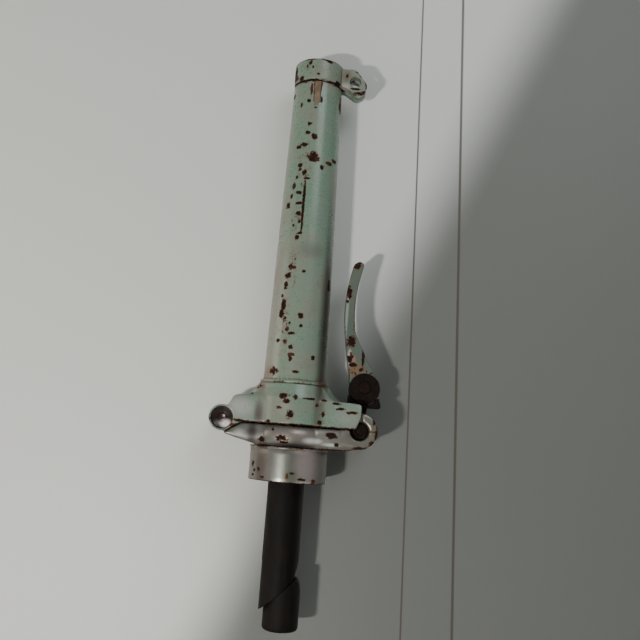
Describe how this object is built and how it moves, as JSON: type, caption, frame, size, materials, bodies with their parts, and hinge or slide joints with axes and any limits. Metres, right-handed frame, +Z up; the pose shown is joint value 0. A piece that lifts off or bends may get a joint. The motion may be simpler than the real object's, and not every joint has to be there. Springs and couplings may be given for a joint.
{
  "type": "folding handlebar post",
  "caption": "Folding handlebar post: tapered tube with a top clamp, a side hinge held by a swing bolt with a cam lever, a headset skirt and a quill with an expander wedge.",
  "frame": {"origin": "on the quill's axis, level with the bottom rim of the headset skirt", "axes": "+Z up along the post, +X towards the clamp lever, -Y towards the face with the key window"},
  "size_m": [0.1173, 0.0564, 0.404],
  "materials": {
    "post_paint": "worn pale green paint over steel, chipped and rusty",
    "silver_paint": "worn silver paint over steel",
    "bush_plastic": "aged tan plastic",
    "greased_steel": "dark steel under old grease",
    "rusted_steel": "dark rusted steel",
    "bare_steel": "worn bare steel"
  },
  "bodies": {
    "lower_half": {"lower_hinge_plate": "silver_paint", "headset_skirt": "silver_paint", "skirt_weld_bead": "silver_paint", "quill_tube": "greased_steel", "expander_washer": "bare_steel", "hinge_pin": "bare_steel", "hinge_pin_clip": "rusted_steel", "swing_pivot_pin": "bare_steel", "swing_pivot_clip": "rusted_steel"},
    "upper_half": {"tapered_tube": "post_paint", "top_clamp_collar": "post_paint", "clamp_ear_front": "post_paint", "clamp_ear_back": "post_paint", "guide_bush": "bush_plastic", "tube_weld_bead": "post_paint", "upper_hinge_plate": "post_paint"},
    "swing_clamp": {"swing_bolt": "rusted_steel", "cam_pin": "bare_steel", "cam_saddle": "rusted_steel"},
    "lever": {"cam_head": "rusted_steel", "cam_lever": "post_paint"},
    "expander_screw": {"expander_bolt": "greased_steel"},
    "wedge": {"expander_wedge": "greased_steel"}
  },
  "joints": [
    {"name": "post_fold", "type": "hinge", "parent": "lower_half", "child": "upper_half", "pos_m": [-0.047, 0, 0.0403], "axis": [0, -1, 0], "range_deg": [0, 175]},
    {"name": "clamp_swing", "type": "hinge", "parent": "lower_half", "child": "swing_clamp", "pos_m": [0.0472, 0, 0.0378], "axis": [0, 1, 0], "range_deg": [0, 100]},
    {"name": "cam_turn", "type": "hinge", "parent": "swing_clamp", "child": "lever", "pos_m": [0.0494, 0, 0.0684], "axis": [0, 1, 0], "range_deg": [0, 90]},
    {"name": "wedge_drop", "type": "slide", "parent": "lower_half", "child": "wedge", "axis": [-0.734, 0, -0.6791], "range_m": [0, 0.00436]},
    {"name": "expander_turn", "type": "hinge", "parent": "lower_half", "child": "expander_screw", "pos_m": [0, 0, 0], "axis": [0, 0, 1], "range_deg": [0, 860]}
  ],
  "couplings": [
    {"joint": "expander_turn", "follows": "wedge_drop", "rad_per_m": 3413.6}
  ]
}
